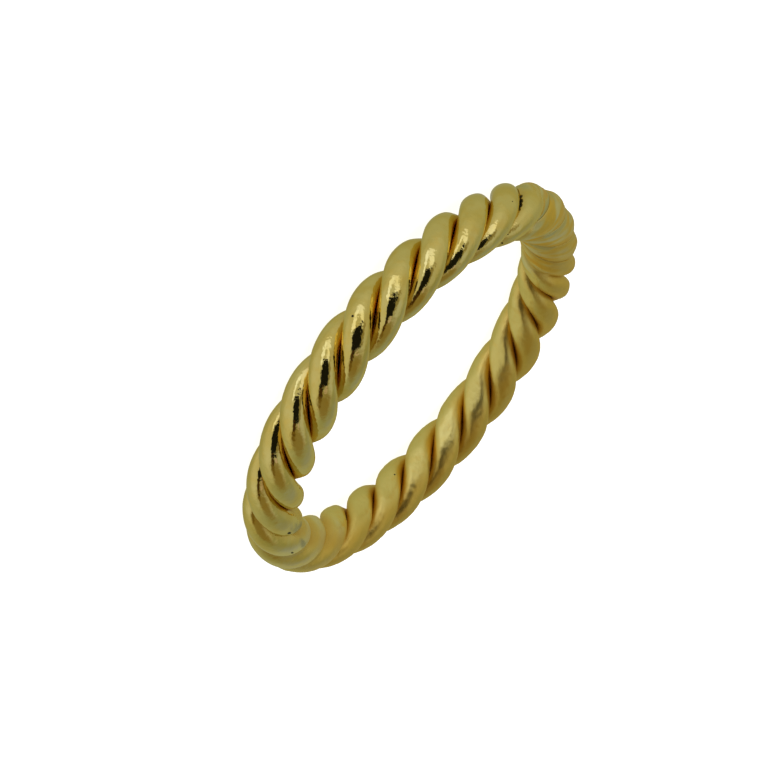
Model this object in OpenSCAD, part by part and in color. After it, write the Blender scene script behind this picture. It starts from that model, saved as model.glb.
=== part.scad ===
// Rope ring: three wires twisted together left-handed, bent to a circle and joined end to end.
// The finger goes through along Z, and the ring lies on the plane Z = 0 on its lobes.
// Each wire is swept along the rope with its turn about the rope's middle as it goes.

/* [Ring] */
// Opening for the finger, between the crests of the lobes
finger_d = 17; // [14:0.5:22]
// Thickness of the rope, from crest to crest
rope_d = 2.8; // [2.4:0.1:3.4]
// Lobes that show once round the ring
lobes = 26; // [22:1:28]

/* [Lay] */
// Place of the joint, as an angle from +X
joint_at = 154; // [0:1:359]
// Extra turn of the wires that is crowded in about the joint, in degrees
crowd_turn = 148; // [0:1:150]
// Stretch on each side of the joint that takes it, in degrees round the ring
crowd_spread = 17; // [15:1:40]
// Slow wander of the lay once round the ring, in degrees of turn
wander_turn = 30; // [0:1:40]
// Place where that wander runs furthest ahead
wander_at = 46; // [0:1:359]
// Second, smaller wander that comes twice round the ring, in degrees of turn
ripple_turn = 8; // [0:1:15]
// Place where the second wander runs furthest ahead
ripple_at = 83; // [0:1:179]
// Turn of the first wire at +X, from lying outermost
start_turn = 67; // [0:1:119]

/* [Wire] */
// Height of each wire's flattened oval section, as a share of the rope's thickness
oval_high = 0.455; // [0.44:0.005:0.48]
// Width of the same oval, as a share of the rope's thickness
oval_wide = 0.56; // [0.54:0.01:0.6]
// Radius of each wire's inner edge, at the core of the rope
core_r = 0.1; // [0.06:0.02:0.12]
// Clearance between wires, and between the ends that meet at the joint
gap = 0.04; // [0.02:0.01:0.06]

/* [Solder] */
// Level that solder fills the grooves up to near the joint, as a share of the rope's thickness
solder_fill = 0.94; // [0.6:0.01:0.94]
// Place where it stands highest, as an angle from +X
solder_at = 174; // [0:1:359]
// Stretch on each side of that place where its level runs down to nothing
solder_spread = 38; // [30:1:90]

/* [Hidden] */

strand_count = 3;
rope_r = rope_d / 2;
ring_r = (finger_d + rope_d) / 2;
half_high = oval_high * rope_r;
half_wide = oval_wide * rope_r;
oval_at = rope_r - half_high;
// Half of the sector that each wire fills in a cut across the rope
flank = 180 / strand_count;

// Facets: sections along one lobe, and points round one section
rings_per_lobe = 6;
oval_steps = 12;
ring_count = lobes * rings_per_lobe;
gap_angle = gap / ring_r * 180 / PI;

// Section of one wire across the rope, with the rope's middle at the origin and the back on +X.
// The oval runs round to where it meets the flanks, and the core end of the flanks is rounded.
flank_reach = norm([half_high * sin(flank), half_wide * cos(flank)]);
oval_to = acos(max(-1, (gap / 2 - oval_at * sin(flank)) / flank_reach))
    - atan2(half_wide * cos(flank), half_high * sin(flank));
core_at = (gap / 2 + core_r) / sin(flank);
core_from = 90 + flank;

oval = [
    for (i = [0:oval_steps])
        let (a = oval_to * (2 * i / oval_steps - 1))
        [oval_at + half_high * cos(a), half_wide * sin(a)]
];
core = [for (a = [core_from, 360 - core_from]) [core_at + core_r * cos(a), core_r * sin(a)]];
side_count = len(oval) + len(core);

function tanh(x) = (exp(2 * x) - 1) / (exp(2 * x) + 1);
// Angle from one place to the angle t, from -180 to 180
function past(t, place) = (t - place + 540) % 360 - 180;
// Turn that the lay is ahead of an even twist at the angle t round the ring
function ahead(t) =
    crowd_turn * (tanh(past(t, joint_at) / crowd_spread) / 2 - past(t, joint_at) / 360)
    + wander_turn * cos(t - wander_at)
    + ripple_turn * cos(2 * (t - ripple_at));
function lay(t) = start_turn + t * lobes / strand_count + ahead(t);

// Radius that the solder reaches at the angle t round the ring, from the rope's middle
function solder_r(t) = solder_fill * rope_r * (1 - pow(past(t, solder_at) / solder_spread, 4));
// Section at the angle t, whose oval is filled out to the solder
function section(t) = concat([for (p = oval) p * max(1, solder_r(t) / norm(p))], core);

// Place of a section's point p on the ring, at the angle t round it and turned about the rope
function placed(p, t, turn) =
    let (out = ring_r + p.x * cos(turn) - p.y * sin(turn))
    [out * cos(t), out * sin(t), rope_r + p.x * sin(turn) + p.y * cos(turn)];

// One wire, from the joint once round the ring to the joint again
module wire(first_turn) {
    points = [
        for (i = [0:ring_count])
            let (t = joint_at + gap_angle / 2 + (360 - gap_angle) * i / ring_count)
            for (p = section(t)) placed(p, t, first_turn + lay(t))
    ];
    // Facets of both flanks are split alike, so that neighbours keep their clearance
    sides = [
        for (i = [0:ring_count - 1], j = [0:side_count - 1])
            let (
                k = (j + 1) % side_count,
                a = i * side_count + j,
                b = i * side_count + k,
                c = a + side_count,
                d = b + side_count
            )
            each j >= oval_steps / 2 && j <= oval_steps ? [[a, b, d], [a, d, c]] : [[a, b, c], [b, d, c]]
    ];
    ends = [
        [for (j = [side_count - 1:-1:0]) j],
        [for (j = [0:side_count - 1]) ring_count * side_count + j]
    ];
    polyhedron(points, concat(sides, ends));
}

module strand_1() {
    color("goldenrod") wire(0);
}

module strand_2() {
    color("goldenrod") wire(360 / strand_count);
}

module strand_3() {
    color("goldenrod") wire(2 * 360 / strand_count);
}

strand_1();
strand_2();
strand_3();
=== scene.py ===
"""Looks of a rope ring: three flattened oval gold wires, twisted and soldered end to end.

Lengths are in millimetres and angles in degrees in the fields of the classes, and become
metres and radians where Blender takes them. The ring lies on its side on the floor, with
its axis along Z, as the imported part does.
"""

import logging
import math
from dataclasses import dataclass, field
from enum import Enum

import bpy
from mathutils import Matrix, Vector

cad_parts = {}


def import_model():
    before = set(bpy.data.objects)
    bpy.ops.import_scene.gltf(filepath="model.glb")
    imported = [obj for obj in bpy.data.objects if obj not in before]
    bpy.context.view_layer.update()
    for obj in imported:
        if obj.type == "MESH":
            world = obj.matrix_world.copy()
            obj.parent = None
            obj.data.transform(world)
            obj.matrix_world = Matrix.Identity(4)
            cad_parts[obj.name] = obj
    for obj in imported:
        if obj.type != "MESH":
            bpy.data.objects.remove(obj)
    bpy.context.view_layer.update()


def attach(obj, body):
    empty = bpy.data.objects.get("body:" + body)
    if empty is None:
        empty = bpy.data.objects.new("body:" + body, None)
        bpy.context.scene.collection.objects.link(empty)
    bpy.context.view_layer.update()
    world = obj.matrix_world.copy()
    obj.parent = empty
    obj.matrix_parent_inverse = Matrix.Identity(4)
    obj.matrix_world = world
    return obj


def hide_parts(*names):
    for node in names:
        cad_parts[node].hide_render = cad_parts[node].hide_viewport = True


LOG = logging.getLogger("rope_ring")
MM = 0.001
GLOSSY_BOUNCES = 12
NOISE_MIDDLE = 0.5
STRANDS = 3
# Half of the sector that each wire fills in a cut across the rope, in radians
SECTOR = math.pi / STRANDS
Socket = bpy.types.NodeSocket
Colour = tuple[float, float, float]
Place = tuple[float, float, float]
# Two values, at the first of which something starts, and at the second of which it is full
Span = tuple[float, float]
Axes = tuple[Vector, Vector, Vector]


def radians(span: Span) -> Span:
    """Turns the two ends of a span from degrees into radians."""
    start, full = span
    return math.radians(start), math.radians(full)


class CardShape(Enum):
    """The outline of a soft light or dark area around the ring."""

    ROUND = "round"
    BOX = "box"


class Wiring:
    """Adds nodes to one tree and links them, so that a tree reads as a few lines of sums."""

    def __init__(self, tree: bpy.types.NodeTree) -> None:
        """Keeps the tree that the nodes go into."""
        self.tree = tree

    def node(self, kind: str, **settings: object) -> bpy.types.Node:
        """Adds a node and sets its properties.

        Args:
            kind: the node's type, such as ShaderNodeMath.
            **settings: properties of the node by name.

        Returns:
            The new node.
        """
        made = self.tree.nodes.new(kind)
        for name, value in settings.items():
            setattr(made, name, value)
        return made

    def feed(self, socket: Socket, value: object) -> None:
        """Links a socket to another socket, or sets it to a plain value.

        Args:
            socket: the input to fill.
            value: an output socket, a number, a vector, a colour or a data block.
        """
        if isinstance(value, Socket):
            self.tree.links.new(value, socket)
        elif isinstance(value, tuple) and socket.type == "RGBA" and len(value) == 3:
            socket.default_value = (*value, 1.0)
        else:
            socket.default_value = value

    def fill(self, node: bpy.types.Node, **inputs: object) -> bpy.types.Node:
        """Fills a node's inputs by their names, with underscores for blanks.

        Args:
            node: the node to fill.
            **inputs: the value of each named input.

        Returns:
            The same node.
        """
        for name, value in inputs.items():
            self.feed(node.inputs[name.replace("_", " ")], value)
        return node

    def math(self, operation: str, *values: object) -> Socket:
        """Adds a Math node.

        Args:
            operation: the sum, such as ADD or TANH.
            *values: its inputs in order.

        Returns:
            The result's socket.
        """
        made = self.node("ShaderNodeMath", operation=operation)
        for socket, value in zip(made.inputs, values):
            self.feed(socket, value)
        return made.outputs[0]

    def vector(self, operation: str, *values: object) -> bpy.types.Node:
        """Adds a Vector Math node.

        Args:
            operation: the sum, such as DOT_PRODUCT.
            *values: its inputs in order.

        Returns:
            The node, whose result is Vector or Value.
        """
        made = self.node("ShaderNodeVectorMath", operation=operation)
        for socket, value in zip(made.inputs, values):
            self.feed(socket, value)
        return made

    def combined(self, **parts: object) -> Socket:
        """Puts X, Y and Z together as a vector."""
        return self.fill(self.node("ShaderNodeCombineXYZ"), **parts).outputs[0]

    def product(self, first: object, *others: object) -> Socket:
        """Multiplies two or more numbers.

        Args:
            first: the first number.
            *others: the others, in the order in which they are multiplied.

        Returns:
            The product's socket.
        """
        result = first
        for other in others:
            result = self.math("MULTIPLY", result, other)
        return result

    def smooth(
        self, value: object, low: float, high: float, start: float = 0.0, end: float = 1.0
    ) -> Socket:
        """Adds a Map Range node that goes smoothly from one result to another.

        Args:
            value: what is mapped.
            low: the value at which the change starts.
            high: the value at which it ends, which may be the lower of the two.
            start: the result at low and before it.
            end: the result at high and past it.

        Returns:
            The result's socket.
        """
        made = self.node("ShaderNodeMapRange", interpolation_type="SMOOTHSTEP")
        for socket, given in zip(made.inputs, (value, low, high, start, end)):
            self.feed(socket, given)
        return made.outputs[0]

    def mix(self, share: object, first: object, second: object) -> Socket:
        """Mixes two colours.

        Args:
            share: how much of the second there is, from 0 to 1.
            first: the first colour.
            second: the second colour.

        Returns:
            The mixed colour's socket.
        """
        made = self.node("ShaderNodeMix", data_type="RGBA", clamp_factor=True)
        self.feed(made.inputs[0], share)
        self.feed(made.inputs[6], first)
        self.feed(made.inputs[7], second)
        return made.outputs[2]

    def named(self, name: str) -> Socket:
        """Reads back a number that was stored on the points of a geometry.

        Args:
            name: the number's name.

        Returns:
            The number's socket.
        """
        made = self.node("GeometryNodeInputNamedAttribute", data_type="FLOAT")
        self.fill(made, Name=name)
        return made.outputs[0]

    def store(self, geometry: object, **values: object) -> Socket:
        """Stores numbers on the points of a geometry.

        Args:
            geometry: the curve or mesh.
            **values: the number to store under each name.

        Returns:
            The geometry's socket, with the numbers on it.
        """
        kept = geometry
        for name, value in values.items():
            made = self.node("GeometryNodeStoreNamedAttribute", data_type="FLOAT", domain="POINT")
            self.fill(made, Geometry=kept, Name=name, Value=value)
            kept = made.outputs[0]
        return kept

    def shift(self, geometry: object, arm: object, amount: object) -> Socket:
        """Moves the points of a geometry.

        Args:
            geometry: the curve or mesh.
            arm: the vector that each point moves along.
            amount: how many times that vector it moves.

        Returns:
            The geometry's socket, with its points moved.
        """
        push = self.vector("SCALE", arm)
        self.feed(push.inputs["Scale"], amount)
        moved = self.node("GeometryNodeSetPosition")
        self.fill(moved, Geometry=geometry, Offset=push.outputs[0])
        return moved.outputs[0]


@dataclass(frozen=True)
class TwistOfRope:
    """How far the wires have turned about the rope's middle at each place round the ring."""

    lobes: int = 26
    joint_at: float = 154.0
    crowd_turn: float = 148.0
    crowd_spread: float = 17.0
    wander_turn: float = 30.0
    wander_at: float = 46.0
    ripple_turn: float = 8.0
    ripple_at: float = 83.0
    start_turn: float = 67.0

    def turn(self, tree: Wiring, place: object, past_joint: object, first_turn: object) -> Socket:
        """Builds the wire's turn in radians at each place round the ring.

        Args:
            tree: the tree to build in.
            place: the angle round the ring, in radians.
            past_joint: the same angle counted from the soldered joint, between minus and plus pi.
            first_turn: the wire's own turn, in radians.

        Returns:
            The turn's socket.
        """
        step = tree.math("TANH", tree.math("DIVIDE", past_joint, math.radians(self.crowd_spread)))
        even = tree.math("DIVIDE", past_joint, 2 * math.pi)
        crowd = tree.math("SUBTRACT", tree.product(step, 0.5), even)
        wander = tree.math("SUBTRACT", place, math.radians(self.wander_at))
        ripple = tree.product(tree.math("SUBTRACT", place, math.radians(self.ripple_at)), 2.0)
        total = tree.math("ADD", tree.product(place, self.lobes / STRANDS), first_turn)
        total = tree.math("ADD", total, math.radians(self.start_turn))
        for share, size in (
            (crowd, self.crowd_turn),
            (tree.math("COSINE", wander), self.wander_turn),
            (tree.math("COSINE", ripple), self.ripple_turn),
        ):
            total = tree.math("MULTIPLY_ADD", share, math.radians(size), total)
        return total


@dataclass(frozen=True)
class WireSection:
    """One wire across: a flattened oval whose inner side is pressed between its two neighbours."""

    oval_high: float = 0.637
    oval_wide: float = 0.784
    clearance: float = 0.003
    shoulder: float = 0.08
    least_facing: float = 0.001
    steps: int = 72

    def outline(self, tree: Wiring, rope_r: float) -> Socket:
        """Builds the section as a closed curve whose X points away from the rope's middle.

        Args:
            tree: the tree to build in.
            rope_r: the rope's radius, in millimetres.

        Returns:
            The curve's socket. It carries each point's angle about the oval's middle as
            "from_back", and about the rope's middle as "from_crest".
        """
        centre = rope_r - self.oval_high
        circle = tree.node("GeometryNodeCurvePrimitiveCircle", mode="RADIUS")
        tree.fill(circle, Resolution=self.steps)
        factor = tree.node("GeometryNodeSplineParameter").outputs["Factor"]
        angle = tree.math("WRAP", tree.product(factor, 2 * math.pi), math.pi, -math.pi)
        cosine, sine = tree.math("COSINE", angle), tree.math("SINE", angle)
        high = tree.math("POWER", tree.math("DIVIDE", cosine, self.oval_high * MM), 2.0)
        wide = tree.math("POWER", tree.math("DIVIDE", sine, self.oval_wide * MM), 2.0)
        oval = tree.math("INVERSE_SQRT", tree.math("ADD", high, wide))
        past = tree.math("SUBTRACT", tree.math("ABSOLUTE", angle), SECTOR)
        facing = tree.math("MAXIMUM", tree.math("SINE", past), self.least_facing)
        wall = tree.math("DIVIDE", (centre * math.sin(SECTOR) - self.clearance) * MM, facing)
        reach = tree.math("SMOOTH_MIN", oval, wall, self.shoulder * MM)
        across = tree.product(sine, reach)
        out = tree.math("MULTIPLY_ADD", cosine, reach, centre * MM)
        crest = tree.math("ARCTAN2", across, out)
        kept = tree.store(circle.outputs[0], from_back=angle, from_crest=crest)
        moved = tree.node("GeometryNodeSetPosition")
        tree.fill(moved, Geometry=kept, Position=tree.combined(X=out, Y=across))
        return moved.outputs[0]


class Blemish(Enum):
    """A single mark on the gold."""

    FLAT = "flat"
    PIT = "pit"

    @property
    def core(self) -> float:
        """The share of the mark's reach that it fills evenly."""
        return 0.25 if self is Blemish.FLAT else 0.5


@dataclass(frozen=True)
class Mark:
    """One blemish at its own place on the ring, in millimetres."""

    kind: Blemish
    place: Place
    reach: float


@dataclass(frozen=True)
class Noise:
    """A noise pattern: its cells a metre, and how many finer steps it has."""

    scale: float
    detail: float

    def value(self, tree: Wiring, spot: object) -> Socket:
        """Reads the noise at a place.

        Args:
            tree: the tree to build in.
            spot: the place.

        Returns:
            The noise's socket, from 0 to 1.
        """
        made = tree.node("ShaderNodeTexNoise")
        tree.fill(made, Vector=spot, Scale=self.scale, Detail=self.detail)
        return made.outputs[0]


@dataclass(frozen=True)
class Scatter:
    """Small round spots: their cells a metre, which cells have one, and how wide it is."""

    scale: float
    channel: int
    chosen: Span
    width: Span

    def mask(self, tree: Wiring, spot: object) -> Socket:
        """Masks the spots.

        Args:
            tree: the tree to build in.
            spot: the place.

        Returns:
            A mask that is 1 in the middle of a spot.
        """
        cells = tree.node("ShaderNodeTexVoronoi", feature="F1")
        tree.fill(cells, Vector=spot, Scale=self.scale)
        parts = tree.node("ShaderNodeSeparateColor")
        tree.fill(parts, Color=cells.outputs["Color"])
        rare = tree.smooth(parts.outputs[self.channel], *self.chosen)
        return tree.product(rare, tree.smooth(cells.outputs["Distance"], *self.width))


@dataclass(frozen=True)
class Tint:
    """A colour laid over the gold: its share, and the values between which it comes in."""

    colour: Colour
    share: float
    comes_in: Span = (0.0, 1.0)

    def where(self, tree: Wiring, value: object) -> Socket:
        """Masks the places where a value brings the tint in."""
        return tree.smooth(value, *self.comes_in)

    def lay(self, tree: Wiring, under: object, *masks: object) -> Socket:
        """Lays the tint over a colour."""
        return tree.mix(tree.product(*masks, self.share), under, self.colour)


@dataclass(frozen=True)
class PolishedGold:
    """Yellow gold, hand polished and worn: dents, scratches, pits and painted shade in the grooves.
    """

    # Colours, in the order in which they are laid
    clean: Colour = (0.86, 0.71, 0.215)
    rich: Tint = Tint((0.82, 0.64, 0.155), 1.0, (0.38, 0.64))
    # Painted sheen: a paler gold over the far half, standing in for its brighter look
    pale: Tint = Tint((0.97, 0.81, 0.235), 0.8)
    specks: Tint = Tint((0.92, 0.60, 0.08), 0.25, (0.50, 0.72))
    worn_crest: Tint = Tint((0.93, 0.89, 0.50), 0.55, (0.55, 0.10))
    # Painted shade: darker orange-brown towards the filled grooves of the sized stretch
    sized_groove_shade: Tint = Tint((0.70, 0.46, 0.10), 0.60, (0.30, 0.95))
    patches: Tint = Tint((0.92, 0.60, 0.08), 0.95, (0.44, 0.64))
    bloom: Tint = Tint((0.93, 0.89, 0.50), 0.75, (0.56, 0.36))
    tarnish: Tint = Tint((0.62, 0.61, 0.28), 0.8, (0.30, 0.55))
    # Painted warm shade: orange on the far half's groove flanks and top, for warm inter-reflection
    flank_shade: Tint = Tint((0.86, 0.57, 0.09), 0.7, (0.35, 0.95))
    # Painted shade: orange-brown in the grooves, for their shade and warm inter-reflection
    groove_shade: Tint = Tint((0.70, 0.46, 0.10), 0.85)
    flat: Tint = Tint((0.38, 0.36, 0.21), 0.8)
    pit: Tint = Tint((0.05, 0.045, 0.02), 1.0)
    edge: Colour = (0.95, 0.92, 0.70)
    bloom_crest: Span = (1.0, 0.2)
    tarnish_depth: float = 0.5
    # How much of the painted warm shade the far half's top gets
    rim_shade_share: float = 0.85
    # Patterns
    blotches: Noise = Noise(900.0, 4.0)
    speckle: Noise = Noise(2300.0, 3.0)
    streaks: Noise = Noise(1150.0, 1.0)
    grain: Noise = Noise(9000.0, 3.0)
    ragged: Noise = Noise(3200.0, 2.0)
    lumps: Noise = Noise(3600.0, 2.0)
    ripples: Noise = Noise(9500.0, 1.0)
    scratches: Noise = Noise(14000.0, 2.0)
    scratch_stretch: float = 0.12
    specks_and_pits: Scatter = Scatter(900.0, 0, (0.90, 0.93), (0.05, 0.03))
    dings: Scatter = Scatter(2300.0, 1, (0.55, 0.60), (0.28, 0.0))
    marks: tuple[Mark, ...] = (
        Mark(Blemish.FLAT, (8.885, -3.680, 2.728), 0.52),
        Mark(Blemish.FLAT, (9.374, -1.711, 2.711), 0.30),
        Mark(Blemish.PIT, (9.185, -4.325, 2.744), 0.11),
        Mark(Blemish.PIT, (9.973, -2.282, 2.740), 0.08),
        Mark(Blemish.PIT, (-0.555, -11.267, 1.178), 0.07),
        Mark(Blemish.PIT, (-7.518, -5.402, 2.482), 0.045),
        Mark(Blemish.PIT, (-7.987, -5.527, 2.469), 0.04),
        Mark(Blemish.PIT, (-9.283, -6.266, 1.920), 0.03),
        Mark(Blemish.PIT, (-9.780, -4.350, 1.400), 0.22),
        Mark(Blemish.PIT, (-9.600, -4.680, 1.620), 0.22),
        Mark(Blemish.PIT, (-9.450, -4.950, 1.800), 0.20),
    )
    mark_stretch: Place = (1.0, 0.45, 1.0)
    # Roughness, and what the grooves, a flat and a pit add to it
    polish: float = 0.03
    scuffed: float = 0.12
    scuffs: Span = (0.3, 0.75)
    satin: float = 0.39
    inner_satin: float = 0.55
    groove_rough: float = 0.1
    flat_rough: float = 0.1
    pit_rough: float = 0.4
    # Heights of the relief
    lump_height: float = 0.018
    ripple_height: float = 0.003
    scratch_height: float = 0.002
    scratches_on_solder: float = 0.2
    ding_depth: float = 0.005
    pit_depth: float = 0.012

    def make(self, name: str) -> bpy.types.Material:
        """Builds the material.

        Args:
            name: the material's name.

        Returns:
            The material, on Object coordinates and the wires' own attributes.
        """
        material = bpy.data.materials.new(name)
        material.use_nodes = True
        material.node_tree.nodes.clear()
        tree = Wiring(material.node_tree)
        spot = tree.node("ShaderNodeTexCoord").outputs["Object"]
        flats = self.marked(tree, spot, Blemish.FLAT)
        scattered = self.specks_and_pits.mask(tree, spot)
        pits = tree.math("MAXIMUM", scattered, self.marked(tree, spot, Blemish.PIT))
        shader = tree.node("ShaderNodeBsdfPrincipled")
        tree.fill(shader, Metallic=1.0, Specular_Tint=self.edge)
        tree.fill(shader, Base_Color=self.colour(tree, spot, flats, pits))
        tree.fill(shader, Roughness=self.roughness(tree, spot, flats, pits))
        tree.fill(shader, Normal=self.relief(tree, spot, pits))
        out = tree.node("ShaderNodeOutputMaterial")
        tree.fill(out, Surface=shader.outputs[0])
        return material

    def colour(self, tree: Wiring, spot: object, flats: object, pits: object) -> Socket:
        """Lays the colours over each other, from the clean gold to the pits.

        Args:
            tree: the material's tree.
            spot: the place on the surface.
            flats: the mask of worn flats.
            pits: the mask of pits.

        Returns:
            The colour's socket.
        """
        satin = self.stored(tree, "satin")
        valley = self.stored(tree, "valley")
        sized = self.stored(tree, "sized")
        blotch = self.rich.where(tree, self.blotches.value(tree, spot))
        colour = self.rich.lay(tree, self.clean, blotch)
        # Painted sheen: the far half is laid paler
        colour = self.pale.lay(tree, colour, satin)
        speckle = self.speckle.value(tree, spot)
        colour = self.specks.lay(tree, colour, self.specks.where(tree, speckle))
        colour = self.worn_crest.lay(tree, colour, sized, self.worn_crest.where(tree, valley))
        # Painted shade towards the filled grooves of the sized stretch
        colour = self.sized_groove_shade.lay(tree, colour, sized, self.sized_groove_shade.where(tree, valley))
        colour = self.on_solder(tree, colour, valley)
        # Painted warm shade on the far half's groove flanks and on its top
        flank_shade = tree.product(self.flank_shade.where(tree, valley), satin, self.flank_shade.share)
        rim = tree.product(self.stored(tree, "rim"), self.rim_shade_share)
        colour = tree.mix(tree.math("MAXIMUM", flank_shade, rim), colour, self.flank_shade.colour)
        # Painted shade: darker orange-brown down in the open grooves
        colour = self.groove_shade.lay(tree, colour, self.stored(tree, "groove"))
        colour = self.flat.lay(tree, colour, flats)
        return self.pit.lay(tree, colour, pits)

    def on_solder(self, tree: Wiring, under: object, valley: object) -> Socket:
        """Lays the orange patches, the pale bloom and the tarnish over the solder.

        Args:
            tree: the material's tree.
            under: the colour below them.
            valley: how deep in a groove the place is, from 0 to 1.

        Returns:
            The colour's socket.
        """
        solder = self.stored(tree, "solder")
        streak = self.streaks.value(tree, self.strip(tree, 1.0))
        colour = self.patches.lay(tree, under, solder, self.patches.where(tree, streak))
        high = tree.smooth(valley, *self.bloom_crest)
        colour = self.bloom.lay(tree, colour, self.bloom.where(tree, streak), high, solder)
        low = tree.math("SUBTRACT", NOISE_MIDDLE, streak)
        low = tree.math("MULTIPLY_ADD", valley, self.tarnish_depth, low)
        return self.tarnish.lay(tree, colour, solder, self.tarnish.where(tree, low))

    def roughness(self, tree: Wiring, spot: object, flats: object, pits: object) -> Socket:
        """Works out how dull the gold is at each place.

        Args:
            tree: the material's tree.
            spot: the place on the surface.
            flats: the mask of worn flats.
            pits: the mask of pits.

        Returns:
            The roughness's socket.
        """
        grain = self.grain.value(tree, spot)
        rough = tree.smooth(grain, *self.scuffs, self.polish, self.scuffed)
        rough = tree.math("MULTIPLY_ADD", self.stored(tree, "groove"), self.groove_rough, rough)
        rough = tree.math("MULTIPLY_ADD", flats, self.flat_rough, rough)
        dull = tree.math("MAXIMUM", self.stored(tree, "satin"), self.stored(tree, "solder"))
        inner = tree.product(self.stored(tree, "inner"), self.inner_satin)
        dull = tree.math("MAXIMUM", tree.product(dull, self.satin), inner)
        rough = tree.math("MAXIMUM", rough, dull)
        return tree.math("MULTIPLY_ADD", pits, self.pit_rough, rough)

    def relief(self, tree: Wiring, spot: object, pits: object) -> Socket:
        """Adds the fine dents, the scratches along the wire and the pits.

        Args:
            tree: the material's tree.
            spot: the place on the surface.
            pits: the mask of pits.

        Returns:
            The bent normal's socket.
        """
        lines = self.scratches.value(tree, self.strip(tree, self.scratch_stretch))
        height = self.scratch_height * MM
        lost = (self.scratches_on_solder - 1) * height
        fine = tree.math("MULTIPLY_ADD", self.stored(tree, "solder"), lost, height)
        total = tree.product(lines, fine)
        for form, rise in (
            (self.lumps.value(tree, spot), self.lump_height),
            (self.ripples.value(tree, spot), self.ripple_height),
            (self.dings.mask(tree, spot), -self.ding_depth),
            (pits, -self.pit_depth),
        ):
            total = tree.math("MULTIPLY_ADD", form, rise * MM, total)
        bump = tree.node("ShaderNodeBump")
        tree.fill(bump, Strength=1.0, Distance=1.0, Height=total)
        return bump.outputs[0]

    def stored(self, tree: Wiring, name: str) -> Socket:
        """Reads a number that the sweep stored on the wire's points."""
        return tree.node("ShaderNodeAttribute", attribute_name=name).outputs["Fac"]

    def strip(self, tree: Wiring, stretch: float) -> Socket:
        """Lays the wire out flat as a strip, so that a pattern can run along it.

        Args:
            tree: the material's tree.
            stretch: how much the strip is shortened, from 0 to 1, so that the pattern is drawn out.

        Returns:
            The place on the strip.
        """
        along = tree.product(self.stored(tree, "along"), stretch)
        around = self.stored(tree, "around")
        return tree.combined(X=along, Y=around, Z=self.stored(tree, "own"))

    def marked(self, tree: Wiring, spot: object, kind: Blemish) -> Socket:
        """Masks the single marks of one kind.

        Args:
            tree: the material's tree.
            spot: the place on the surface.
            kind: the kind of mark.

        Returns:
            A mask that is 1 on the marks.
        """
        mask: object = 0.0
        for mark in self.marks:
            if mark.kind is kind:
                reach = mark.reach * MM
                middle = tuple(number * MM for number in mark.place)
                offset = tree.vector("SUBTRACT", spot, middle).outputs[0]
                offset = tree.vector("MULTIPLY", offset, self.mark_stretch).outputs[0]
                away = tree.vector("LENGTH", offset).outputs["Value"]
                ragged = tree.math("SUBTRACT", self.ragged.value(tree, spot), NOISE_MIDDLE)
                away = tree.math("MULTIPLY_ADD", ragged, reach, away)
                mask = tree.math("MAXIMUM", tree.smooth(away, reach, reach * kind.core), mask)
        return mask


@dataclass(frozen=True)
class SolderedPlace:
    """A stretch of the ring whose grooves are filled up to a share of the rope's radius."""

    at: float
    fill: float
    spread: float
    steepness: float = 4.0

    def level(self, tree: Wiring, place: object) -> Socket:
        """Gives the solder's level at a place round the ring, which runs down on both sides.

        Args:
            tree: the tree to build in.
            place: the angle round the ring, in radians.

        Returns:
            The level's socket, as a share of the rope's radius.
        """
        past = tree.math("SUBTRACT", place, math.radians(self.at))
        past = tree.math("WRAP", past, math.pi, -math.pi)
        past = tree.math("ABSOLUTE", tree.math("DIVIDE", past, math.radians(self.spread)))
        fall = tree.math("SUBTRACT", 1.0, tree.math("POWER", past, self.steepness))
        return tree.product(fall, self.fill)


@dataclass(frozen=True)
class PressedSide:
    """The finger's side of the rope, pressed on a mandrel: low broad lobes with narrow grooves."""

    # How much of the pressed form comes in, and its heights as shares of the rope's radius
    share: float = 0.55
    crest: float = 0.965
    bottom: float = 0.60
    bluntness: float = 4.0
    flat: float = 0.935
    # Rounding in millimetres, sines of the place round the ring, cosines of the angle to the finger
    rounding: float = 0.14
    far_half: Span = (-0.1, 0.5)
    finger_side: Span = (-0.1, 0.9)
    least_inward: float = 0.05

    def level(
        self, tree: Wiring, reach: object, place: object, inward: object, rope_r: float
    ) -> Socket:
        """Moves the skin towards the pressed form on the side that faces the finger.

        Args:
            tree: the tree to build in.
            reach: the skin's distance from the rope's middle, in metres.
            place: the angle round the ring, in radians.
            inward: how far the skin faces the finger, from minus 1 to 1.
            rope_r: the rope's radius, in millimetres.

        Returns:
            The new distance's socket.
        """
        away = tree.math("ABSOLUTE", tree.named("from_crest"))
        down = tree.math("MINIMUM", tree.math("DIVIDE", away, SECTOR), 1.0)
        drop = tree.math("POWER", down, self.bluntness)
        fall = (self.bottom - self.crest) * rope_r * MM
        form = tree.math("MULTIPLY_ADD", drop, fall, self.crest * rope_r * MM)
        palm = tree.smooth(tree.math("SINE", place), *self.far_half)
        share = tree.product(tree.smooth(inward, *self.finger_side), palm, self.share)
        lobe = tree.math("MULTIPLY_ADD", share, tree.math("SUBTRACT", form, reach), reach)
        facing = tree.math("MAXIMUM", inward, self.least_inward)
        mandrel = tree.math("DIVIDE", self.flat * rope_r * MM, facing)
        pressed = tree.math("SMOOTH_MIN", lobe, mandrel, self.rounding * MM)
        return tree.math("MULTIPLY_ADD", palm, tree.math("SUBTRACT", pressed, lobe), lobe)


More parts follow.
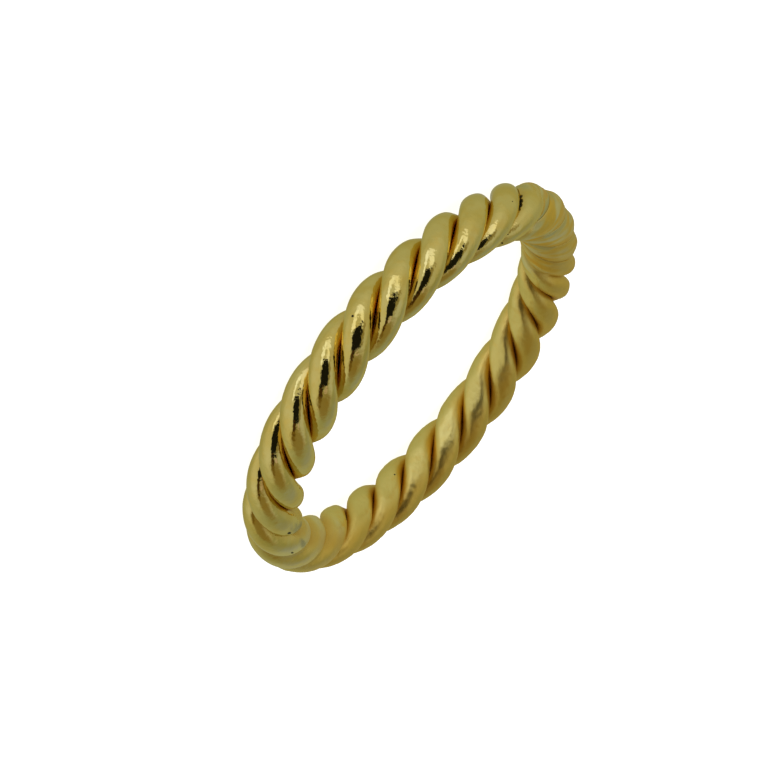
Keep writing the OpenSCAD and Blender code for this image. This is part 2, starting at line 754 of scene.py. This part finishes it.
@dataclass
class RopeRing:
    """The ring: a rope of three wires bent to a circle, lying on its lobes on the floor."""

    finger_d: float = 17.0
    rope_d: float = 2.8
    steps_along: int = 1000
    joint_overlap: float = 0.004
    crease: float = 40.0
    twist: TwistOfRope = field(default_factory=TwistOfRope)
    section: WireSection = field(default_factory=WireSection)
    gold: PolishedGold = field(default_factory=PolishedGold)
    # Solder, and the finger's side
    pressed: PressedSide = PressedSide()
    joint: SolderedPlace = SolderedPlace(178.0, 0.94, 28.0, 8.0)
    sizing: SolderedPlace = SolderedPlace(4.0, 0.80, 30.0)
    fillet: float = 0.22
    seam: float = 0.05
    seam_from: float = 44.0
    joint_shows: Span = (0.60, 0.90)
    sizing_shows: Span = (0.55, 0.72)
    # Angles from a wire's back: the side solder can reach, the dented skin, the painted groove shade
    open_side: Span = (158.0, 113.0)
    skin: Span = (110.0, 80.0)
    groove_side: Span = (80.0, 125.0)
    # Sines of the place round the ring, cosines of the angle to the finger, and heights over the
    # floor as shares of the rope's radius
    near_half: Span = (0.6, 0.3)
    far_half: Span = (-0.35, 0.45)
    finger_side: Span = (0.0, 0.6)
    # The painted warm shade on the far half's top comes in between these heights
    rim: Span = (1.25, 1.8)
    # Dents: their cells a metre and shares, and how far from the joint they start
    dent_depth: float = 0.040
    far_dents: float = 1.4
    dent_sizes: tuple[Span, ...] = ((1000.0, 0.6), (3600.0, 0.4))
    smooth_joint: float = 3.0
    first_seed: int = 11
    seed_step: int = 7

    @property
    def ring_r(self) -> float:
        """The rope's middle, from the ring's axis."""
        return (self.finger_d + self.rope_d) / 2

    @property
    def rope_r(self) -> float:
        """Half the rope's thickness."""
        return self.rope_d / 2

    def build(self) -> list[bpy.types.Object]:
        """Builds, dresses and rides the three wires.

        Returns:
            The wires' objects.
        """
        material = self.gold.make("yellow_gold")
        tree = self.sweep_tree(material)
        wires = [self.wire(tree, number) for number in range(STRANDS)]
        bpy.data.node_groups.remove(tree)
        return wires

    def wire(self, tree: bpy.types.NodeTree, number: int) -> bpy.types.Object:
        """Makes one wire from the sweep and gives it its place in the part.

        Args:
            tree: the sweep's node tree.
            number: 0, 1 or 2.

        Returns:
            The wire's object.
        """
        name = f"wire_{number + 1}"
        holder = bpy.data.objects.new(name + "_path", bpy.data.meshes.new(name + "_path"))
        bpy.context.scene.collection.objects.link(holder)
        sweep = holder.modifiers.new("sweep", "NODES")
        sweep.node_group = tree
        sockets = tree.interface.items_tree
        inputs = {item.name: item.identifier for item in sockets if item.in_out == "INPUT"}
        sweep[inputs["First Turn"]] = 2 * math.pi * number / STRANDS
        sweep[inputs["Seed"]] = self.first_seed + self.seed_step * number
        evaluated = holder.evaluated_get(bpy.context.evaluated_depsgraph_get())
        mesh = bpy.data.meshes.new_from_object(evaluated)
        holder.modifiers.remove(sweep)
        bpy.data.objects.remove(holder)
        mesh.name = name
        piece = bpy.data.objects.new(name, mesh)
        bpy.context.scene.collection.objects.link(piece)
        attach(piece, "root")
        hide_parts(f"strand_{number + 1}")
        LOG.info("%s: %d faces", name, len(mesh.polygons))
        return piece

    def sweep_tree(self, material: bpy.types.Material) -> bpy.types.NodeTree:
        """Builds the Geometry Nodes tree that sweeps one wire once round the ring.

        Args:
            material: the gold that the wire is made of.

        Returns:
            The tree, with the ring's sizes, the wire's own turn and the seed of its dents as inputs.
        """
        group = bpy.data.node_groups.new("wire_sweep", "GeometryNodeTree")
        sockets = group.interface
        sockets.new_socket("Geometry", in_out="INPUT", socket_type="NodeSocketGeometry")
        for name, kind, value in (
            ("Ring Radius", "NodeSocketFloat", self.ring_r * MM),
            ("Rope Radius", "NodeSocketFloat", self.rope_r * MM),
            ("First Turn", "NodeSocketFloat", 0.0),
            ("Dent Depth", "NodeSocketFloat", self.dent_depth * MM),
            ("Steps Along", "NodeSocketInt", self.steps_along),
            ("Seed", "NodeSocketInt", self.first_seed),
        ):
            sockets.new_socket(name, in_out="INPUT", socket_type=kind).default_value = value
        sockets.new_socket("Geometry", in_out="OUTPUT", socket_type="NodeSocketGeometry")
        tree = Wiring(group)
        given = tree.node("NodeGroupInput").outputs
        swept = tree.node("GeometryNodeCurveToMesh")
        outline = self.section.outline(tree, self.rope_r)
        tree.fill(swept, Curve=self.path(tree, given), Profile_Curve=outline, Fill_Caps=True)
        soldered = self.soldered(tree, swept.outputs[0])
        dented = self.dents(tree, self.marks(tree, soldered, given), given)
        soft = tree.node("GeometryNodeSetShadeSmooth", domain="FACE")
        tree.fill(soft, Geometry=dented, Shade_Smooth=True)
        fold = tree.node("GeometryNodeInputMeshEdgeAngle").outputs["Unsigned Angle"]
        crisp = tree.node("GeometryNodeSetShadeSmooth", domain="EDGE")
        tree.fill(crisp, Geometry=soft.outputs[0], Shade_Smooth=False)
        tree.fill(crisp, Selection=tree.math("GREATER_THAN", fold, math.radians(self.crease)))
        real = tree.node("GeometryNodeRealizeInstances")
        tree.fill(real, Geometry=crisp.outputs[0])
        golden = tree.node("GeometryNodeSetMaterial")
        tree.fill(golden, Geometry=real.outputs[0], Material=material)
        tree.feed(tree.node("NodeGroupOutput").inputs[0], golden.outputs[0])
        return group

    def path(self, tree: Wiring, given: object) -> Socket:
        """Builds the rope's middle line, tilted as the wire turns.

        Args:
            tree: the sweep's tree.
            given: the tree's named inputs.

        Returns:
            The curve's socket. It carries each point's angle round the ring as "place", and
            the same angle counted from the joint as "past_joint".
        """
        joint_at = math.radians(self.twist.joint_at)
        overlap = self.joint_overlap / self.ring_r
        start = joint_at - overlap / 2
        sweep = 2 * math.pi + overlap
        arc = tree.node("GeometryNodeCurveArc", mode="RADIUS")
        tree.fill(arc, Resolution=given["Steps Along"], Radius=given["Ring Radius"])
        tree.fill(arc, Start_Angle=start, Sweep_Angle=sweep)
        raised = tree.shift(arc.outputs[0], (0.0, 0.0, 1.0), given["Rope Radius"])
        factor = tree.node("GeometryNodeSplineParameter").outputs["Factor"]
        place = tree.math("MULTIPLY_ADD", factor, sweep, start)
        past = tree.math("WRAP", tree.math("SUBTRACT", place, joint_at), math.pi, -math.pi)
        upright = tree.node("GeometryNodeSetCurveNormal", mode="Z_UP")
        tree.fill(upright, Curve=tree.store(raised, place=place, past_joint=past))
        turn = self.twist.turn(tree, place, past, given["First Turn"])
        tilted = tree.node("GeometryNodeSetCurveTilt")
        tree.fill(tilted, Curve=upright.outputs[0], Tilt=tree.product(turn, -1.0))
        return tilted.outputs[0]

    def soldered(self, tree: Wiring, wire: object) -> Socket:
        """Presses the finger's side, and fills the grooves at the joint and at the opposite bend.

        Args:
            tree: the sweep's tree.
            wire: the swept wire.

        Returns:
            The wire's socket. It carries where solder shows as "solder" and "sized", and the
            finger's side of the near half as "inner".
        """
        place = tree.named("place")
        heading = tree.combined(X=tree.math("COSINE", place), Y=tree.math("SINE", place))
        ring_r = (self.ring_r * MM,) * 3
        rise = (0.0, 0.0, self.rope_r * MM)
        middle = tree.vector("MULTIPLY_ADD", heading, ring_r, rise).outputs[0]
        where = tree.node("GeometryNodeInputPosition").outputs[0]
        arm = tree.vector("SUBTRACT", where, middle).outputs[0]
        reach = tree.vector("LENGTH", arm).outputs["Value"]
        outward = tree.vector("DOT_PRODUCT", arm, heading).outputs["Value"]
        inward = tree.math("DIVIDE", outward, tree.product(reach, -1.0))
        near_half = tree.smooth(tree.math("SINE", place), *self.near_half)
        joint = self.joint.level(tree, place)
        sizing = self.sizing.level(tree, place)
        kept = tree.store(
            wire,
            inner=tree.product(tree.smooth(inward, *self.finger_side), near_half),
            solder=tree.smooth(joint, *self.joint_shows),
            sized=tree.smooth(sizing, *self.sizing_shows),
        )
        pressed = self.pressed.level(tree, reach, place, inward, self.rope_r)
        crest = tree.math("ABSOLUTE", tree.named("from_crest"))
        seam_from = math.radians(self.seam_from)
        past_edge = tree.math("MAXIMUM", tree.math("SUBTRACT", crest, seam_from), 0.0)
        sunk = tree.math("MULTIPLY_ADD", past_edge, -self.seam / (SECTOR - seam_from), 1.0)
        share = tree.product(tree.math("MAXIMUM", sizing, joint), sunk)
        filled = tree.product(share, self.rope_r * MM)
        level = tree.math("SMOOTH_MAX", pressed, filled, self.fillet * MM)
        grow = tree.math("SUBTRACT", tree.math("DIVIDE", level, reach), 1.0)
        back = tree.math("ABSOLUTE", tree.named("from_back"))
        return tree.shift(kept, arm, tree.product(grow, tree.smooth(back, *radians(self.open_side))))

    def marks(self, tree: Wiring, wire: object, given: object) -> Socket:
        """Stores the other numbers that the gold reads.

        Args:
            tree: the sweep's tree.
            wire: the soldered wire.
            given: the tree's named inputs.

        Returns:
            The wire's socket. It carries the mask of the painted groove shade as "groove", the depth
            in a groove as "valley", the place on the strip as "along", "around" and "own", the far
            half as "satin", and the far half's top, where a warm shade is painted, as "rim".
        """
        back = tree.named("from_back")
        place = tree.named("place")
        # Mask of the painted groove shade, which also adds roughness there
        groove_shade = tree.smooth(tree.math("ABSOLUTE", back), *radians(self.groove_side))
        filled = tree.math("MAXIMUM", tree.named("solder"), tree.named("sized"))
        crest = tree.math("ABSOLUTE", tree.named("from_crest"))
        satin = tree.smooth(tree.math("SINE", place), *self.far_half)
        tall = tree.node("ShaderNodeSeparateXYZ")
        tree.fill(tall, Vector=tree.node("GeometryNodeInputPosition").outputs[0])
        # Mask of the painted warm shade on the far half's top
        top = tree.smooth(tall.outputs[2], *(share * self.rope_r * MM for share in self.rim))
        return tree.store(
            wire,
            groove=tree.product(groove_shade, tree.math("SUBTRACT", 1.0, filled)),
            valley=tree.math("MINIMUM", tree.math("DIVIDE", crest, SECTOR), 1.0),
            along=tree.product(place, given["Ring Radius"]),
            around=tree.product(back, self.section.oval_wide * MM),
            own=tree.product(given["Seed"], MM),
            satin=satin,
            rim=tree.product(top, satin),
        )

    def dents(self, tree: Wiring, wire: object, given: object) -> Socket:
        """Dents the wire's skin a little, as wear and polishing do, and the far half more.

        Args:
            tree: the sweep's tree.
            wire: the wire with its marks.
            given: the tree's named inputs.

        Returns:
            The dented wire's socket.
        """
        where = tree.node("GeometryNodeInputPosition").outputs[0]
        normal = tree.node("GeometryNodeInputNormal").outputs[0]
        height: object = 0.0
        for scale, share in self.dent_sizes:
            noise = tree.node("ShaderNodeTexNoise", noise_dimensions="4D")
            tree.fill(noise, Vector=where, W=given["Seed"], Scale=scale, Detail=1.0)
            rise = tree.math("SUBTRACT", noise.outputs[0], NOISE_MIDDLE)
            height = tree.math("MULTIPLY_ADD", rise, share, height)
        back = tree.math("ABSOLUTE", tree.named("from_back"))
        away = tree.math("ABSOLUTE", tree.named("past_joint"))
        clear = tree.smooth(away, 0.0, math.radians(self.smooth_joint))
        outer = tree.product(tree.smooth(back, *radians(self.skin)), clear)
        deep = tree.math("MULTIPLY_ADD", tree.named("satin"), self.far_dents, 1.0)
        deep = tree.product(deep, given["Dent Depth"])
        return tree.shift(wire, normal, tree.product(height, tree.product(outer, deep)))


@dataclass(frozen=True)
class PhotoCamera:
    """The camera: where it stands, what it looks at, and how it is turned about its own axis."""

    place: Place = (-0.064, -121.726, 43.997)
    aim: Place = (1.005, -3.107, 1.400)
    roll: float = 128.556
    lens: float = 125.087
    sensor: float = 36.0
    sees: Span = (5.0, 20000.0)

    def axes(self) -> Axes:
        """Works out how the picture lies in the part's frame.

        Returns:
            The picture's right, up and forward directions.
        """
        forward = (Vector(self.aim) - Vector(self.place)).normalized()
        level = forward.cross(Vector((0, 0, 1))).normalized()
        above = level.cross(forward)
        turn = math.radians(self.roll)
        right = level * math.cos(turn) + above * math.sin(turn)
        up = above * math.cos(turn) - level * math.sin(turn)
        return right, up, forward

    def make(self) -> bpy.types.Object:
        """Makes the camera and gives it to the scene.

        Returns:
            The camera's object.
        """
        right, up, forward = self.axes()
        lens = bpy.data.cameras.new("camera")
        lens.lens = self.lens
        lens.sensor_width = self.sensor
        lens.clip_start, lens.clip_end = (distance * MM for distance in self.sees)
        camera = bpy.data.objects.new("camera", lens)
        turn = Matrix((right, up, -forward)).transposed().to_4x4()
        camera.matrix_world = Matrix.Translation(Vector(self.place) * MM) @ turn
        bpy.context.scene.collection.objects.link(camera)
        bpy.context.scene.camera = camera
        return camera


def direction(axes: Axes, across: float, down: float) -> Vector:
    """Turns degrees across and down from the camera into a direction from the ring.

    Args:
        axes: the picture's right, up and forward directions.
        across: degrees to the picture's right.
        down: degrees towards the picture's foot.

    Returns:
        The direction, of length 1.
    """
    right, up, forward = axes
    far = math.radians(math.hypot(across, down))
    bearing = math.atan2(down, across)
    side = right * math.cos(bearing) - up * math.sin(bearing)
    return -forward * math.cos(far) + side * math.sin(far)


@dataclass(frozen=True)
class SoftCard:
    """A lit or dark area around the ring that the gold mirrors, placed in degrees from the camera."""

    name: str
    across: float
    down: float
    half_wide: float
    half_high: float
    edge: float
    light: Colour
    shape: CardShape = CardShape.ROUND
    turn: float = 0.0

    def mask(self, tree: Wiring, axes: Axes, looked: object) -> Socket:
        """Builds the card's mask over the directions round the ring.

        Args:
            tree: the world's tree.
            axes: the picture's right, up and forward directions.
            looked: the direction that is looked along.

        Returns:
            A mask that is 1 on the card.
        """
        middle = direction(axes, self.across, self.down)
        wide = (direction(axes, self.across + 1, self.down) - middle).normalized()
        wide = (wide - middle * wide.dot(middle)).normalized()
        high = middle.cross(wide)
        turn = math.radians(self.turn)
        wide, high = (
            wide * math.cos(turn) + high * math.sin(turn),
            high * math.cos(turn) - wide * math.sin(turn),
        )
        front = tree.vector("DOT_PRODUCT", looked, tuple(middle)).outputs["Value"]
        parts = []
        for side, half in ((wide, self.half_wide), (high, self.half_high)):
            dot = tree.vector("DOT_PRODUCT", looked, tuple(side)).outputs["Value"]
            angle = tree.math("ARCTAN2", dot, front)
            parts.append(tree.math("ABSOLUTE", tree.math("DIVIDE", angle, math.radians(half))))
        if self.shape is CardShape.BOX:
            reach = tree.math("MAXIMUM", *parts)
        else:
            squares = [tree.product(part, part) for part in parts]
            reach = tree.math("SQRT", tree.math("ADD", *squares))
        return tree.smooth(reach, 1 + self.edge / 2, 1 - self.edge / 2)


@dataclass
class Studio:
    """The pale floor, the soft light and the tent around the ring."""

    camera: PhotoCamera = field(default_factory=PhotoCamera)
    floor_half: float = 6000.0
    floor_white: float = 0.85
    floor_rough: float = 0.9
    floor_glow: float = 0.86
    sky_light: float = 1.1
    sky_spread: float = 160.0
    tent: Colour = (0.43, 0.44, 0.385)
    dim: Colour = (0.28, 0.30, 0.235)
    # The side on which the tent grows dim, and the cosines of the angle from it
    dim_across: float = 50.0
    dim_down: float = 85.0
    grows_dim: Span = (0.05, 0.95)
    cards: tuple[SoftCard, ...] = (
        SoftCard("left_wall", -55, 2, 38, 54, 1.2, (0.57, 0.57, 0.60)),
        SoftCard("ceiling", 6, -38, 62, 34, 1.2, (0.53, 0.53, 0.52)),
        SoftCard("right_wall", 60, -5, 26, 34, 1.2, (0.46, 0.45, 0.41)),
        SoftCard("cool_corner", 104, 108, 50, 45, 1.0, (0.28, 0.32, 0.46)),
        SoftCard("right_glow", 54, 34, 18, 26, 0.9, (0.44, 0.46, 0.52)),
        SoftCard("table", 13, 60, 38, 25, 1.0, (0.235, 0.19, 0.095)),
        SoftCard("behind", 0, 180, 62, 62, 0.9, (0.38, 0.39, 0.30)),
        SoftCard("table_glint", 20, 32, 9, 5, 0.5, (0.46, 0.38, 0.47)),
        SoftCard("lamp_top", -9, -44, 21, 7, 0.5, (0.86, 0.89, 1.20), CardShape.BOX, -8),
        SoftCard("lamp_right", 16, -29, 20, 10, 0.4, (0.90, 0.93, 1.22), turn=-44),
        SoftCard("lamp_left", -27, -30, 8, 18, 0.35, (0.98, 1.05, 1.55), CardShape.BOX),
        SoftCard("brown_right", 38, 5, 12, 17, 0.8, (0.25, 0.22, 0.13)),
        SoftCard("brown_low", -15, 45, 11, 17, 0.8, (0.16, 0.11, 0.03), turn=-30),
        SoftCard("dark_low", -9, 29, 12, 17, 0.5, (0.055, 0.028, 0.008), turn=-32),
        SoftCard("dark_brim", 2, -8, 20, 8, 0.2, (0.010, 0.010, 0.009), CardShape.BOX),
        SoftCard("dark_block", 5, 10, 27, 17, 0.2, (0.010, 0.010, 0.009), CardShape.BOX),
    )

    def build(self) -> None:
        """Builds the floor, the light and the world, and places the camera."""
        self.camera.make()
        self.floor()
        self.light()
        self.world()
        LOG.info("studio: %d cards", len(self.cards))

    def floor(self) -> bpy.types.Object:
        """Lays a plain pale floor that the gold doesn't mirror.

        Returns:
            The floor's object.
        """
        half = self.floor_half * MM
        mesh = bpy.data.meshes.new("floor")
        corners = [(-half, -half, 0), (half, -half, 0), (half, half, 0), (-half, half, 0)]
        mesh.from_pydata(corners, [], [(0, 1, 2, 3)])
        material = bpy.data.materials.new("pale_floor")
        material.use_nodes = True
        shader = material.node_tree.nodes["Principled BSDF"]
        shader.inputs["Base Color"].default_value = (self.floor_white,) * 3 + (1.0,)
        shader.inputs["Roughness"].default_value = self.floor_rough
        shader.inputs["Specular IOR Level"].default_value = 0.0
        shader.inputs["Emission Color"].default_value = (1.0, 1.0, 1.0, 1.0)
        shader.inputs["Emission Strength"].default_value = self.floor_glow
        mesh.materials.append(material)
        floor = bpy.data.objects.new("floor", mesh)
        bpy.context.scene.collection.objects.link(floor)
        floor.visible_glossy = False
        return floor

    def light(self) -> bpy.types.Object:
        """Hangs one wide soft light overhead, which lights the floor and isn't mirrored.

        Returns:
            The light's object.
        """
        lamp = bpy.data.lights.new("soft_light", "SUN")
        lamp.energy = self.sky_light
        lamp.angle = math.radians(self.sky_spread)
        light = bpy.data.objects.new("soft_light", lamp)
        bpy.context.scene.collection.objects.link(light)
        light.visible_glossy = False
        return light

    def world(self) -> None:
        """Builds the tent of light and its cards, seen only by light and by the gold."""
        world = bpy.data.worlds.new("tent")
        bpy.context.scene.world = world
        world.use_nodes = True
        world.node_tree.nodes.clear()
        tree = Wiring(world.node_tree)
        axes = self.camera.axes()
        looked = tree.node("ShaderNodeTexCoord").outputs["Generated"]
        low = direction(axes, self.dim_across, self.dim_down)
        towards = tree.vector("DOT_PRODUCT", looked, tuple(low)).outputs["Value"]
        colour = tree.mix(tree.smooth(towards, *self.grows_dim), self.tent, self.dim)
        for card in self.cards:
            colour = tree.mix(card.mask(tree, axes, looked), colour, card.light)
        mirrored = tree.node("ShaderNodeBackground")
        tree.fill(mirrored, Color=colour)
        seen = tree.node("ShaderNodeBackground")
        tree.fill(seen, Color=(1.0, 1.0, 1.0))
        choose = tree.node("ShaderNodeMixShader")
        tree.feed(choose.inputs[0], tree.node("ShaderNodeLightPath").outputs["Is Camera Ray"])
        tree.feed(choose.inputs[1], mirrored.outputs[0])
        tree.feed(choose.inputs[2], seen.outputs[0])
        tree.feed(tree.node("ShaderNodeOutputWorld").inputs["Surface"], choose.outputs[0])


def corners(box: tuple[Vector, Vector]) -> list[list[float]]:
    """Turns a box into plain lists of numbers."""
    return [list(map(float, corner)) for corner in box]


def main() -> None:
    """Loads the frame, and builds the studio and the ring."""
    logging.basicConfig(level=logging.INFO, format="%(name)s %(message)s")
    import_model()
    bpy.context.scene.view_settings.view_transform = "Standard"
    bpy.context.scene.cycles.glossy_bounces = GLOSSY_BOUNCES
    Studio().build()
    RopeRing().build()


if __name__ == "__main__":
    main()
